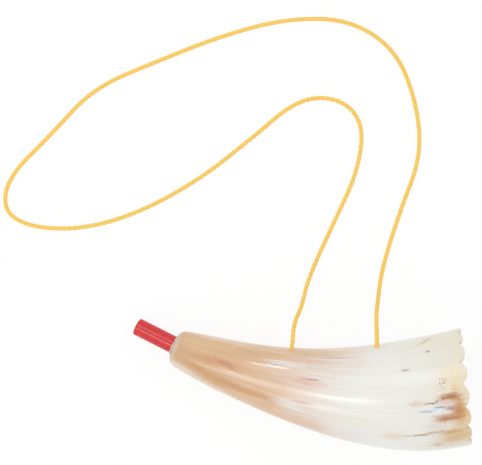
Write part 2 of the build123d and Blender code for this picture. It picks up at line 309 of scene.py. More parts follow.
@dataclass(frozen=True)
class PolishedHorn:
    """Cattle-horn keratin, scraped and buffed.

    Translucent tan at the solid tip and bone-white towards the bell, drawn out in fibres that
    follow the growth, under a soft wax gloss; the hollow inside is dull and browner. Two kinds
    of painted light sit among the marks: a sheen highlight across the tip and paler tip sides
    for edge reflection.
    """

    ior: float = 1.55
    roughness: float = 0.22
    dull_roughness: float = 0.62
    girth: float = 25.0
    # how far, in mm, the tones drift with the clouds and the fibres and lag on the sides
    cloud_drift: float = 34.0
    fibre_drift: float = 36.0
    side_lag: float = 30.0
    tone_span: float = 200.0
    # noises drawn out along the growth: length and width in mm, detail, roughness
    grains: tuple[tuple[float, float, float, float], ...] = (
        (30, 11, 3.0, 0.5),  # clouds that drift the borders between tones
        (40, 1.1, 4.0, 0.6),  # fibres about 0.7 mm wide
        (25, 0.4, 2.0, 0.5),  # hair lines about 0.25 mm wide
        (2.2, 0.9, 3.0, 0.65),  # frays at the marks' edges
    )
    # sRGB tone at mm along the axis
    tones: tuple[tuple[float, str], ...] = (
        (0, "d0ab84"), (14, "d3aa83"), (34, "d6ae89"), (56, "d9b592"), (72, "dec1a8"),
        (88, "e2d1c3"), (106, "e5ded6"), (128, "e8e7e2"), (152, "e8e7e1"), (172, "e7e4da"),
        (200, "e6e0cd"),
    )  # fmt: skip
    marks: tuple[Mark, ...] = (
        # solid tip: orange patches, red-brown spots, a paler diagonal band of painted highlight and
        # paler sides of painted edge reflection
        Mark(29, -7, 22, 12, "cf9b74", 0.8, -0.2, 0.25),
        Mark(47, 31, 34, 14, "cb9a6a", 0.85, 0.1, 0.25),
        Mark(18, 24, 12, 9, "c99868", 0.6, 0.4, 0.25),
        # painted highlight: this paler diagonal band stands for a lamp's sheen across the tip
        Mark(42, 10, 34, 5.0, "e4c8ab", 0.65, -0.15, 0.3),
        Mark(46, 7, 10, 8, "dfc0a8", 0.5, 0.0, 0.4),
        Mark(36, -8, 7, 5, "b9806c", 0.6, 0.2, 0.6),
        Mark(43, -1, 6, 3.5, "bd8a75", 0.5, 0.3, 0.6),
        # painted reflection: these paler sides of the tip stand for the white surroundings reflected at
        # the grazing edges and for light seen through the thin keratin there
        Mark(48, 92, 66, 42, "efe1cc", 0.85, 0.0, 0.2),
        Mark(44, -90, 74, 32, "ead9c2", 0.8, 0.0, 0.2),
        Mark(22, -42, 30, 26, "e0bf98", 0.6, 0.0, 0.3),
        Mark(8, 56, 26, 20, "e8d9c8", 0.75, 0.0, 0.2),
        # middle: white, pink and brown fibres where tan fades into bone white
        Mark(56, -25, 8, 2.2, "f6eee3", 0.8, 0.0, 0.5),
        Mark(69, -27, 11, 3.0, "f4f2ef", 0.9, -0.1, 0.6),
        Mark(78, -36, 18, 8, "e7e3df", 0.75, 0.0, 0.6),
        Mark(84, -7, 14, 9, "e2c8bc", 0.6, 0.0, 0.6),
        Mark(84, 31, 13, 10, "e5e4df", 0.85, 0.0, 0.6),
        Mark(92, -68, 32, 9, "dbba93", 0.65, 0.0, 0.5),
        Mark(103, -55, 17, 1.6, "b98a68", 0.6, 0.0, 0.7),
        Mark(96, -60, 16, 1.3, "bb8c69", 0.6, 0.05, 0.5),
        Mark(96, -46, 20, 4, "dcb7a4", 0.6, 0.0, 0.7),
        Mark(94, -17, 7, 1.5, "94786a", 0.65, -0.1, 0.7),
        Mark(90, -12, 13, 5, "deb09d", 0.6, 0.0, 0.7),
        Mark(90, 19, 9, 3, "c79b8e", 0.55, -0.3, 0.6),
        Mark(95, 56, 15, 10, "dab79d", 0.6, 0.0, 0.5),
        Mark(126, 28, 17, 8, "e8e4d2", 0.6, 0.0, 0.4),
        Mark(120, -45, 14, 6, "e6d6c6", 0.5, 0.0, 0.7),
        # bell: cream rim, specks and a brown stain round a lilac-white patch
        Mark(149, 42, 8, 6, "ddc59e", 0.5, 0.0, 0.5),
        Mark(175, -70, 8, 3, "c7a685", 0.5, -1.0, 0.5),
        Mark(175, -51, 2.4, 2.2, "97957f", 0.75, 0.0, 0.3),
        Mark(157, -32, 3.4, 1.8, "a9926c", 0.7, 0.0, 0.4),
        Mark(188, -14, 14, 17, "eddfbf", 0.65, 0.0, 0.25),
        Mark(193, 30, 13, 40, "e0c28f", 0.85, 0.0, 0.2),
        Mark(182, 52, 16, 26, "d8cbb6", 0.7, 0.0, 0.5),
        Mark(185, 46, 11, 11, "d8b27f", 0.8, 0.0, 0.3),
        Mark(182, 38, 9, 3.0, "c2945c", 0.75, 0.0, 0.4),
        Mark(175, 28, 9, 6, "dfd2d0", 0.7, 0.0, 0.5),
        Mark(188.5, 14, 5.5, 18, "c4823f", 0.9, 0.0, 0.15),
        Mark(184, 0.5, 9, 4.2, "b4773b", 0.95, 0.1, 0.3),
        Mark(181, 21.5, 10.5, 5.2, "b97f58", 0.95, 0.1, 0.3),
        Mark(181, 5.5, 8, 3.6, "dec6bc", 0.8, 0.0, 0.3),
        Mark(174.5, 11.5, 13, 5.4, "e0e3e8", 0.95, -0.05, 0.3),
        Mark(184, 11.5, 5, 3.2, "ae8680", 0.8, 0.0, 0.4),
        Mark(163, 3.5, 9, 4, "dcc09d", 0.6, 0.0, 0.5),
        Mark(171, 4, 5, 1.5, "856445", 0.8, -0.1, 0.8),
        Mark(176.5, 2.2, 4, 1.3, "80604a", 0.75, -0.2, 0.8),
        Mark(177.5, 8.5, 4.5, 1.2, "8f868a", 0.75, -0.1, 0.8),
        Mark(169.5, 12, 4.5, 1.3, "a9a9ae", 0.65, 0.0, 0.8),
        Mark(168, 37.8, 12, 1.8, "a3876a", 0.7, -0.28, 0.8),
        Mark(174, 56, 4.5, 3.5, "bc9a8d", 0.65, 0.0, 0.5),
        # underside: quieter patches of the same kinds
        Mark(40, -140, 22, 14, "cb9c6c", 0.6, 0.1, 0.3),
        Mark(70, 135, 20, 12, "d9b592", 0.5, -0.1, 0.5),
        Mark(150, 140, 18, 12, "cfae82", 0.5, 0.0, 0.6),
        Mark(183, -135, 10, 14, "b3783c", 0.75, 0.0, 0.5),
        Mark(187, 112, 9, 12, "d9b67e", 0.7, 0.0, 0.4),
    )

    def build(self) -> Material:
        """Build the material from the growth and depth attributes of the horn's skin."""
        material, tree, shader = new_material("buffed_cattle_horn_keratin")
        grain = self._grain(tree)
        colour = self._tone(grain)
        for mark in self.marks:
            mask = self._mark(grain, mark, grain.fibre.outputs[0], grain.fray.outputs[0])
            colour = add(tree, "Mix", data_type="RGBA", i0=mask, i6=colour,
                         i7=linear(mark.colour)).outputs[2]
        pores = self._pores(grain)
        skin = add(tree, "Mix", data_type="RGBA", i0=pores, i6=self._shaded(grain, colour),
                   i7=linear("80602f"))

        # sawn tip, and the dull hollow inside
        sawn = add(tree, "MapRange", i_Value=grain.along, i_From_Min=3.0, i_From_Max=0.2, i_To_Max=0.85,
                   interpolation_type="SMOOTHSTEP")
        tip = add(tree, "Mix", data_type="RGBA", i0=sawn, i6=skin.outputs[2], i7=linear("d2c7b4"))
        depth = add(tree, "Attribute", attribute_name=Field.DEPTH.value)
        inside = add(tree, "MapRange", i_Value=depth.outputs["Fac"], i_From_Min=0.8 * MM,
                     i_From_Max=2.4 * MM, interpolation_type="SMOOTHSTEP")
        hollow = add(tree, "ValToRGB", i0=grain.fibre,
                     ramp=[(0.3, linear("a88a63")), (0.5, linear("cbb38a")), (0.7, linear("ddceae"))])
        whole = add(tree, "Mix", data_type="RGBA", i0=inside, i6=tip.outputs[2], i7=hollow)

        dull = add(tree, "Math", "MAXIMUM", i0=sawn, i1=inside)
        gloss = add(tree, "MapRange", i_Value=grain.fibre, i_From_Min=0.3, i_From_Max=0.7,
                    i_To_Min=self.roughness - 0.05, i_To_Max=self.roughness + 0.07)
        rough = add(tree, "Mix", data_type="FLOAT", i0=dull, i2=gloss, i3=self.dull_roughness)
        # fibres stand about 0.01 mm proud of the buffed skin
        relief = add(tree, "Math", "MULTIPLY_ADD", i0=grain.hair, i1=0.5, i2=grain.fibre)
        sunk = add(tree, "Math", "MULTIPLY_ADD", i0=pores, i1=-3.0, i2=relief)
        bump = add(tree, "Bump", i_Strength=0.35, i_Distance=0.02 * MM, i_Height=sunk)
        feed(tree, shader, i_Base_Color=whole.outputs[2], i_Roughness=rough, i_Normal=bump,
             i_IOR=self.ior, i_Subsurface_Weight=0.12, i_Subsurface_Radius=(1.0, 0.6, 0.35),
             i_Subsurface_Scale=1.6 * MM)
        return material

    def _grain(self, tree: Tree) -> Grain:
        """Read the growth attribute and lay the noises on it.

        Args:
            tree: The horn's node tree.

        Returns:
            The coordinates and noises.
        """
        growth = add(tree, "Attribute", attribute_name=Field.GROWTH.value)
        place = add(tree, "VectorMath", "SCALE", i0=growth.outputs["Vector"], i_Scale=1 / MM)
        parts = add(tree, "SeparateXYZ", i0=place)
        turned = add(tree, "Math", "MULTIPLY", i0=parts.outputs["Y"], i1=-1.0)
        angle = add(tree, "Math", "ARCTAN2", i0=turned, i1=parts.outputs["Z"])
        degrees = add(tree, "Math", "MULTIPLY", i0=angle, i1=180 / math.pi)
        noises = []
        for length, width, detail, roughness in self.grains:
            drawn = add(tree, "VectorMath", "MULTIPLY", i0=place, i1=(1 / length, 1 / width, 1 / width))
            noises.append(add(tree, "TexNoise", i_Vector=drawn, i_Scale=1.0, i_Detail=detail,
                              i_Roughness=roughness))
        cloud, fibre, hair, fray = noises
        drift = add(tree, "SeparateColor", i0=cloud.outputs["Color"])
        return Grain(tree, place, parts.outputs["X"], degrees, drift, fibre, hair, fray)

    def _tone(self, grain: Grain) -> Socket:
        """Tone of the keratin from tip to bell; the tan reaches further along the sides.

        Args:
            grain: Coordinates and noises.

        Returns:
            The tone's socket.
        """
        tree = grain.tree
        drifted = add(tree, "Math", "MULTIPLY_ADD", i0=grain.drift, i1=self.cloud_drift, i2=grain.along)
        level = add(tree, "Math", "SUBTRACT", i0=drifted, i1=self.cloud_drift / 2)
        fibrous = add(tree, "Math", "MULTIPLY_ADD", i0=grain.fibre, i1=self.fibre_drift, i2=level)
        side = add(tree, "Math", "DIVIDE", i0=grain.around, i1=88.0)
        square = add(tree, "Math", "POWER", i0=side, i1=2.0)
        most = add(tree, "Math", "MINIMUM", i0=square, i1=1.2)
        back = add(tree, "Math", "MULTIPLY_ADD", i0=most, i1=-self.side_lag, i2=fibrous)
        faded = add(tree, "MapRange", i_Value=grain.along, i_From_Min=120.0, i_From_Max=160.0)
        reach = add(tree, "Mix", data_type="FLOAT", i0=faded, i2=back, i3=fibrous)
        share = add(tree, "Math", "MULTIPLY_ADD", i0=reach, i1=1 / self.tone_span,
                    i2=-self.fibre_drift / 2 / self.tone_span)
        ramp = [(mm / self.tone_span, linear(colour)) for mm, colour in self.tones]
        return add(tree, "ValToRGB", i0=share, ramp=ramp).outputs[0]

    def _shaded(self, grain: Grain, colour: Socket) -> Node:
        """Colour lightened and darkened by fibres, most at the tan tip, and by hair lines.

        Args:
            grain: Coordinates and noises.
            colour: Colour of the skin.

        Returns:
            The node of the shaded colour.
        """
        tree = grain.tree
        calm = add(tree, "MapRange", i_Value=grain.along, i_From_Min=70.0, i_From_Max=130.0,
                   i_To_Min=1.0, i_To_Max=0.45)
        swing = add(tree, "MapRange", i_Value=grain.fibre, i_From_Min=0.3, i_From_Max=0.7,
                    i_To_Min=-0.06, i_To_Max=0.05)
        shade = add(tree, "Math", "MULTIPLY_ADD", i0=swing, i1=calm, i2=1.0)
        thread = add(tree, "MapRange", i_Value=grain.hair, i_From_Min=0.3, i_From_Max=0.7,
                     i_To_Min=0.975, i_To_Max=1.02)
        both = add(tree, "Math", "MULTIPLY", i0=shade, i1=thread)
        return add(tree, "VectorMath", "SCALE", i0=colour, i_Scale=both)

    def _mark(self, grain: Grain, mark: Mark, fibre: Socket, fray: Socket) -> Socket:
        """Mask of one mark.

        Args:
            grain: Coordinates and noises.
            mark: Place, size and tone of the mark.
            fibre: Noise that breaks the mark up.
            fray: Noise that roughens its edge.

        Returns:
            The mask's socket, from 0 to the mark's strength.
        """
        tree = grain.tree
        wander, swing = 1.6 * mark.width, 3.2 * mark.fibre
        run = add(tree, "Math", "SUBTRACT", i0=grain.along, i1=mark.along)
        drifted = add(tree, "Math", "MULTIPLY_ADD", i0=grain.drift.outputs[1], i1=wander,
                      i2=grain.around)
        centre = add(tree, "Math", "SUBTRACT", i0=drifted, i1=mark.around + wander / 2)
        slanted = add(tree, "Math", "MULTIPLY_ADD", i0=run, i1=-mark.slant, i2=centre)
        flat = add(tree, "CombineXYZ", i0=run, i1=slanted)
        unit = add(tree, "VectorMath", "MULTIPLY", i0=flat, i1=(1 / mark.length, 1 / mark.width, 0.0))
        reach = add(tree, "VectorMath", "LENGTH", i0=unit).outputs["Value"]
        broken = add(tree, "Math", "MULTIPLY_ADD", i0=fibre, i1=-swing, i2=reach)
        frayed = add(tree, "Math", "MULTIPLY_ADD", i0=fray, i1=swing, i2=broken)
        return add(tree, "MapRange", i_Value=frayed, i_From_Min=1.25, i_From_Max=0.2,
                   i_To_Max=mark.strength, interpolation_type="SMOOTHSTEP").outputs[0]

    def _pores(self, grain: Grain) -> Socket:
        """Mask of the small dark pores near the bell, each about 1 mm long.

        Args:
            grain: Coordinates and noises.

        Returns:
            The mask's socket.
        """
        tree = grain.tree
        pore_at = add(tree, "VectorMath", "MULTIPLY", i0=grain.place, i1=(1 / 1.8, 1 / 1.2, 1 / 1.2))
        cells = add(tree, "TexVoronoi", i_Vector=pore_at, i_Scale=1.0).outputs["Distance"]
        dots = add(tree, "MapRange", i_Value=cells, i_From_Min=0.4, i_From_Max=0.2, i_To_Max=0.75)
        herd = Mark(181, -13, 5, 9, "", 1.0, 0.0, 0.0)
        near = self._mark(grain, herd, cells, cells)
        return add(tree, "Math", "MULTIPLY", i0=dots, i1=near).outputs[0]


@dataclass(frozen=True)
class MouldedPlastic:
    """Moulded or extruded thermoplastic: an even colour, smooth, with fine rub marks.

    Args:
        name: Name of the plastic and how it was made.
        colour: sRGB colour.
        worn: sRGB colour where it is rubbed.
        roughness: Usual roughness.
        ior: Refractive index.
        glow: Subsurface weight of a tinted clear plastic.
    """

    name: str
    colour: str
    worn: str
    roughness: float
    ior: float
    glow: float = 0.0

    def build(self) -> Material:
        """Build the material on Object coordinates."""
        material, tree, shader = new_material(self.name)
        where = add(tree, "TexCoord").outputs["Object"]
        # faint flow marks about 4 mm across
        flow = add(tree, "TexNoise", i_Vector=where, i_Scale=1 / (4 * MM), i_Detail=2.0)
        # rub marks about 1.2 mm across
        rubs = add(tree, "TexNoise", i_Vector=where, i_Scale=1 / (1.2 * MM), i_Detail=2.0)
        wear = add(tree, "MapRange", i_Value=flow, i_From_Min=0.35, i_From_Max=0.75)
        tint = add(tree, "Mix", data_type="RGBA", i0=wear, i6=linear(self.colour), i7=linear(self.worn))
        rough = add(tree, "MapRange", i_Value=rubs, i_From_Min=0.35, i_From_Max=0.65,
                    i_To_Min=self.roughness, i_To_Max=self.roughness + 0.01)
        bump = add(tree, "Bump", i_Strength=0.1, i_Distance=0.004 * MM, i_Height=rubs)
        feed(tree, shader, i_Base_Color=tint.outputs[2], i_Roughness=rough, i_Normal=bump,
             i_IOR=self.ior, i_Subsurface_Weight=self.glow, i_Subsurface_Radius=(1.0, 0.2, 0.1),
             i_Subsurface_Scale=1.0 * MM)
        return material


@dataclass(frozen=True)
class DriedGlue:
    """Clear glue dried to a dull, slightly grey skin, with dust in it."""

    colour: str = "d6cbb8"
    dust: str = "8d8578"

    def build(self) -> Material:
        """Build the material on Object coordinates."""
        material, tree, shader = new_material("dried_clear_glue")
        where = add(tree, "TexCoord").outputs["Object"]
        # blotches of dust about 2.5 mm across
        blotch = add(tree, "TexNoise", i_Vector=where, i_Scale=1 / (2.5 * MM), i_Detail=3.0)
        dirty = add(tree, "MapRange", i_Value=blotch, i_From_Min=0.5, i_From_Max=0.7, i_To_Max=0.8)
        tint = add(tree, "Mix", data_type="RGBA", i0=dirty, i6=linear(self.colour),
                   i7=linear(self.dust))
        rough = add(tree, "MapRange", i_Value=blotch, i_To_Min=0.25, i_To_Max=0.55)
        feed(tree, shader, i_Base_Color=tint.outputs[2], i_Roughness=rough, i_IOR=1.48,
             i_Subsurface_Weight=0.3, i_Subsurface_Radius=(1.0, 0.8, 0.6), i_Subsurface_Scale=0.8 * MM)
        return material


@dataclass(frozen=True)
class BraidedCord:
    """Spun polyester strands braided into a soft cord: golden yellow, with painted shade in the weave,
    a darker, warmer tone where the strands sink.
    """

    colour: str = "fbd568"
    painted_groove_shade: str = "f4c254"
    sheen: float = 0.25

    def build(self) -> Material:
        """Build the material from the strand attribute and Object coordinates."""
        material, tree, shader = new_material("braided_polyester_cord")
        strand = add(tree, "Attribute", attribute_name=Field.STRAND.value)
        parts = add(tree, "SeparateXYZ", i0=strand.outputs["Vector"])
        where = add(tree, "TexCoord").outputs["Object"]
        # tufts about 1.2 mm long, and fibres about 0.12 mm thick
        tuft = add(tree, "TexNoise", i_Vector=where, i_Scale=1 / (1.2 * MM), i_Detail=2.0)
        fibre = add(tree, "TexNoise", i_Vector=where, i_Scale=1 / (0.12 * MM), i_Detail=2.0)
        # painted shade: where a strand sinks under the others it takes the darker groove tone; the
        # tufts break this up at random
        raised = add(tree, "MapRange", i_Value=parts.outputs["Y"], i_From_Min=-1.0, i_From_Max=1.0)
        fuzz = add(tree, "Math", "MULTIPLY_ADD", i0=tuft, i1=0.6, i2=raised)
        low = add(tree, "MapRange", i_Value=fuzz, i_From_Min=0.9, i_From_Max=0.2)
        tint = add(tree, "Mix", data_type="RGBA", i0=low, i6=linear(self.colour),
                   i7=linear(self.painted_groove_shade))
        bump = add(tree, "Bump", i_Strength=0.5, i_Distance=0.05 * MM, i_Height=fibre)
        feed(tree, shader, i_Base_Color=tint.outputs[2], i_Normal=bump, i_Roughness=0.75, i_IOR=1.5,
             i_Sheen_Weight=self.sheen, i_Sheen_Roughness=0.5, i_Sheen_Tint=linear("ffe08a"))
        return material


@dataclass(frozen=True)
class RolledBrass:
    """Thin brass strip with rolling lines along it and a slight brown tarnish."""

    colour: str = "d9b569"
    tarnish: str = "9c7436"

    def build(self) -> Material:
        """Build the material on Object coordinates."""
        material, tree, shader = new_material("rolled_brass_strip")
        where = add(tree, "TexCoord").outputs["Object"]
        lie = add(tree, "Mapping", i_Vector=where, i_Rotation=(0.0, 0.0, math.radians(26.2)))
        # rolling lines about 0.15 mm apart
        lines_at = add(tree, "VectorMath", "MULTIPLY", i0=lie,
                       i1=(1 / (6 * MM), 1 / (0.15 * MM), 1 / (6 * MM)))
        lines = add(tree, "TexNoise", i_Vector=lines_at, i_Scale=1.0, i_Detail=2.0)
        stain = add(tree, "TexNoise", i_Vector=where, i_Scale=1 / (3 * MM), i_Detail=3.0)
        dull = add(tree, "MapRange", i_Value=stain, i_From_Min=0.45, i_From_Max=0.7, i_To_Max=0.7)
        tint = add(tree, "Mix", data_type="RGBA", i0=dull, i6=linear(self.colour),
                   i7=linear(self.tarnish))
        rough = add(tree, "MapRange", i_Value=lines, i_To_Min=0.18, i_To_Max=0.42)
        bump = add(tree, "Bump", i_Strength=0.2, i_Distance=0.005 * MM, i_Height=lines)
        feed(tree, shader, i_Base_Color=tint.outputs[2], i_Roughness=rough, i_Normal=bump,
             i_Metallic=1.0)
        return material


# ------------------------------------------------------------------ the cord
@dataclass
class BraidTree:
    """Geometry Nodes tree that lays a tubular braid along a path.

    Args:
        radius: Radius of the finished cord, in mm.
        strand: Radius of one strand, in mm.
        weave: How far a strand rises and sinks, in mm.
        turn: Length of one turn of a strand, in mm.
        step: Distance between the braid's rings, in mm.
        pairs: Strands laid each way round.
    """

    radius: float = 1.5
    strand: float = 0.47
    weave: float = 0.14
    turn: float = 14.0
    step: float = 0.75
    pairs: int = 4
    tree: Tree = field(init=False)

    def __post_init__(self) -> None:
        """Build the tree once; every path uses it."""
        self.tree = bpy.data.node_groups.new("Tubular braid", "GeometryNodeTree")
        face = self.tree.interface
        face.new_socket("Geometry", in_out="INPUT", socket_type="NodeSocketGeometry")
        for name in ("Cord Radius", "Strand Radius", "Weave Rise", "Turn Length", "Ring Step"):
            face.new_socket(name, in_out="INPUT", socket_type="NodeSocketFloat")
        face.new_socket("Strand Pairs", in_out="INPUT", socket_type="NodeSocketInt")
        face.new_socket("Material", in_out="INPUT", socket_type="NodeSocketMaterial")
        face.new_socket("Geometry", in_out="OUTPUT", socket_type="NodeSocketGeometry")
        self._wire()

    def _wire(self) -> None:
        """Lay the strands over a core, alternate strands winding each way."""
        tree = self.tree
        size = add(tree, "NodeGroupInput").outputs
        route = add(tree, "GeometryNodeMeshToCurve", i0=size["Geometry"])
        rings = add(tree, "GeometryNodeResampleCurve", mode="LENGTH", i_Curve=route,
                    i_Length=size["Ring Step"])
        count = add(tree, "Math", "MULTIPLY", i0=size["Strand Pairs"], i1=2.0)
        copies = add(tree, "GeometryNodeDuplicateElements", domain="SPLINE", i_Geometry=rings,
                     i_Amount=count)
        number = copies.outputs["Duplicate Index"]
        offset, tone, middle = self._wind(size, number)
        named = add(tree, "GeometryNodeStoreNamedAttribute", data_type="FLOAT_VECTOR", domain="POINT",
                    i_Geometry=copies, i_Name=Field.STRAND.value, i_Value=tone)
        placed = add(tree, "GeometryNodeSetPosition", i_Geometry=named, i_Offset=offset)
        ring = add(tree, "GeometryNodeCurvePrimitiveCircle", i_Resolution=5,
                   i_Radius=size["Strand Radius"])
        strands = add(tree, "GeometryNodeCurveToMesh", i_Curve=placed, i_Profile_Curve=ring,
                      i_Fill_Caps=True)
        core_ring = add(tree, "GeometryNodeCurvePrimitiveCircle", i_Resolution=8, i_Radius=middle)
        core = add(tree, "GeometryNodeCurveToMesh", i_Curve=rings, i_Profile_Curve=core_ring,
                   i_Fill_Caps=True)
        joined = add(tree, "GeometryNodeJoinGeometry", i0=strands)
        tree.links.new(core.outputs[0], joined.inputs[0])
        smooth = add(tree, "GeometryNodeSetShadeSmooth", i0=joined)
        real = add(tree, "GeometryNodeRealizeInstances", i0=smooth)
        dressed = add(tree, "GeometryNodeSetMaterial", i_Geometry=real, i_Material=size["Material"])
        add(tree, "NodeGroupOutput", i0=dressed)

    def _wind(self, size: Any, number: Socket) -> tuple[Node, Node, Node]:
        """Where each strand lies off the route, weaving over and under the others.

        Args:
            size: Sockets of the tree's inputs.
            number: Number of the strand.

        Returns:
            The offset, the strand attribute and the core's radius.
        """
        tree = self.tree
        # +1 for strands that wind one way, -1 for the others
        odd = add(tree, "Math", "MODULO", i0=number, i1=2.0)
        way = add(tree, "Math", "MULTIPLY_ADD", i0=odd, i1=-2.0, i2=1.0)
        half = add(tree, "Math", "DIVIDE", i0=number, i1=2.0)
        pair = add(tree, "Math", "FLOOR", i0=half)
        gap = add(tree, "Math", "DIVIDE", i0=2 * math.pi, i1=size["Strand Pairs"])
        start = add(tree, "Math", "MULTIPLY", i0=pair, i1=gap)
        run = add(tree, "GeometryNodeSplineParameter")
        turns = add(tree, "Math", "DIVIDE", i0=run.outputs["Length"], i1=size["Turn Length"])
        wound = add(tree, "Math", "MULTIPLY", i0=turns, i1=2 * math.pi)
        signed = add(tree, "Math", "MULTIPLY", i0=wound, i1=way)
        angle = add(tree, "Math", "ADD", i0=signed, i1=start)
        beat = add(tree, "Math", "MULTIPLY", i0=wound, i1=size["Strand Pairs"])
        wave = add(tree, "Math", "COSINE", i0=beat)
        over = add(tree, "Math", "MULTIPLY", i0=wave, i1=way)
        inset = add(tree, "Math", "SUBTRACT", i0=size["Cord Radius"], i1=size["Strand Radius"])
        middle = add(tree, "Math", "SUBTRACT", i0=inset, i1=size["Weave Rise"])
        out = add(tree, "Math", "MULTIPLY_ADD", i0=over, i1=size["Weave Rise"], i2=middle)
        normal = add(tree, "GeometryNodeInputNormal")
        tangent = add(tree, "GeometryNodeInputTangent")
        turned = add(tree, "VectorRotate", rotation_type="AXIS_ANGLE", i_Vector=normal, i_Axis=tangent,
                     i_Angle=angle)
        offset = add(tree, "VectorMath", "SCALE", i0=turned, i_Scale=out)
        tone = add(tree, "CombineXYZ", i0=number, i1=over, i2=run.outputs["Length"])
        return offset, tone, middle

    def lay(self, name: str, route: list[Triple], radius: float,
            material: Material) -> tuple[Piece, list[list[float]]]:
        """Lay a braid along a route.

        Args:
            name: Name of the braided piece.
            route: Control points of the route's NURBS curve, in mm.
            radius: Radius of the cord there, in mm.
            material: The cord's material.

        Returns:
            The plain mesh piece and the points that it follows, in metres.
        """
        line = nurbs_path(name + "_route", [tuple(v * MM for v in point) for point in route])
        thread = bake_to_mesh(line, name + "_line")
        points = [list(vertex.co) for vertex in thread.data.vertices]
        weave = thread.modifiers.new("Braid", "NODES")
        weave.node_group = self.tree
        scale = radius / self.radius
        values = {
            "Cord Radius": radius * MM,
            "Strand Radius": self.strand * scale * MM,
            "Weave Rise": self.weave * scale * MM,
            "Turn Length": self.turn * MM,
            "Ring Step": self.step * MM,
            "Strand Pairs": self.pairs,
            "Material": material,
        }
        for socket in self.tree.interface.items_tree:
            if socket.in_out == "INPUT" and socket.name in values:
                weave[socket.identifier] = values[socket.name]
        return bake_to_mesh(thread, name), points


@dataclass
class NeckCord:
    """The cord loop that hangs the horn, from the front hole round to the rear hole, with a knot
    behind the horn's wall at each end. Places are in millimetres."""

    diameter: float = 3.0
    length: float = 1017.5
    fuzz: float = 0.08
    front_exit: Triple = (-6.41, 23.66, 28.2)
    rest: float = 1.6
    front_out: tuple[Triple, ...] = (
        (-8.134, 16.039, 26.121), (-5.342, 28.372, 29.509), (-5.2, 37, 26.5), (-2.7, 44.5, 16.5),
        (1.4, 51.5, 6.5),
    )  # fmt: skip
    on_table: tuple[tuple[float, float], ...] = (
        (6, 70.5), (21.5, 104.5), (40, 143.5), (44.5, 176.5), (29, 194.5),
        (0, 195), (-33.5, 166.5), (-69, 138.5), (-111, 115.5), (-149, 104.5),
        (-184, 105.5), (-204, 116.5), (-200.5, 140.5), (-171, 169.5), (-142, 201.5),
        (-97, 220.5), (-51, 238.5), (-8, 249.5), (34, 249), (66, 228.5),
        (80.5, 192.5), (84, 155.5), (70, 118.5), (62, 94.5), (56.5, 74.5),
    )  # fmt: skip
    rear_in: tuple[Triple, ...] = (
        (53, 58.5, 15), (49.5, 45.5, 36), (49.883, 30.938, 40.271), (49.654, 21.375, 37.708),
    )  # fmt: skip
    hole_ways: tuple[Triple, ...] = (
        (0.2133, 0.9422, 0.2588), (0.0231, 0.9657, 0.2588),
    )  # fmt: skip
    knot_cord: float = 1.3
    # knot: way in behind the wall, radius and number of its turns, where they start and how far
    # they climb, and the tail as (way back, widening) pairs
    knot_in: tuple[Triple, ...] = ((0, 0, 0), (-2.2, 0, 0), (-4.6, 0, 0), (-6.3, 0.5, 0))
    knot_wrap: float = 2.6
    knot_turns: float = 1.8
    knot_steps: int = 8
    knot_start: float = -6.0
    knot_climb: float = 4.2
    knot_tail: tuple[tuple[float, float], ...] = ((1.2, 1.15), (4.0, 1.25), (8.5, 1.5))

    def build(self, braid: BraidTree, material: Material) -> None:
        """Build the cord and its two knots, hang them on the horn's body and hide the imported cord and
        knots.

        Args:
            braid: The braid that every stretch of the cord is made with.
            material: The cord's material.
        """
        route = [*self.front_out, *((x, y, self.rest) for x, y in self.on_table), *self.rear_in]
        cord, points = braid.lay("braided_neck_cord", route, self.diameter / 2 + self.fuzz, material)
        for name, face, way in (
            ("front_knot", route[0], self.hole_ways[0]),
            ("rear_knot", route[-1], self.hole_ways[1]),
        ):
            knot, _ = braid.lay("tied_" + name, self._knot(face, way), self.knot_cord, material)
            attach(knot, "horn")
            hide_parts(name)
            LOG.info("%s: %d faces", knot.name, len(knot.data.polygons))
        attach(cord, "horn")
        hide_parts("neck_cord")
        LOG.info("%s: %d faces", cord.name, len(cord.data.polygons))

    def _knot(self, face: Triple, way: Triple) -> list[Triple]:
        """Route of a stopper knot: in along the hole, back round itself, and a short tail.

        Args:
            face: Middle of the knot's outer face, in mm.
            way: Direction of the hole, out of the horn.

        Returns:
            Control points of the knot's route, in mm.
        """
        out, side, up = frame_of(Vector(way))
        places = list(self.knot_in)
        steps = self.knot_turns * self.knot_steps
        for k in range(int(steps) + 1):
            turn = 2 * math.pi * k / self.knot_steps
            places.append((self.knot_start + self.knot_climb * k / steps,
                           self.knot_wrap * math.cos(turn), self.knot_wrap * math.sin(turn)))
        x, y, z = places[-1]
        places += [(x - back, y * wider, z * wider) for back, wider in self.knot_tail]
        return [tuple(Vector(face) + out * d + side * p + up * q) for d, p, q in places]


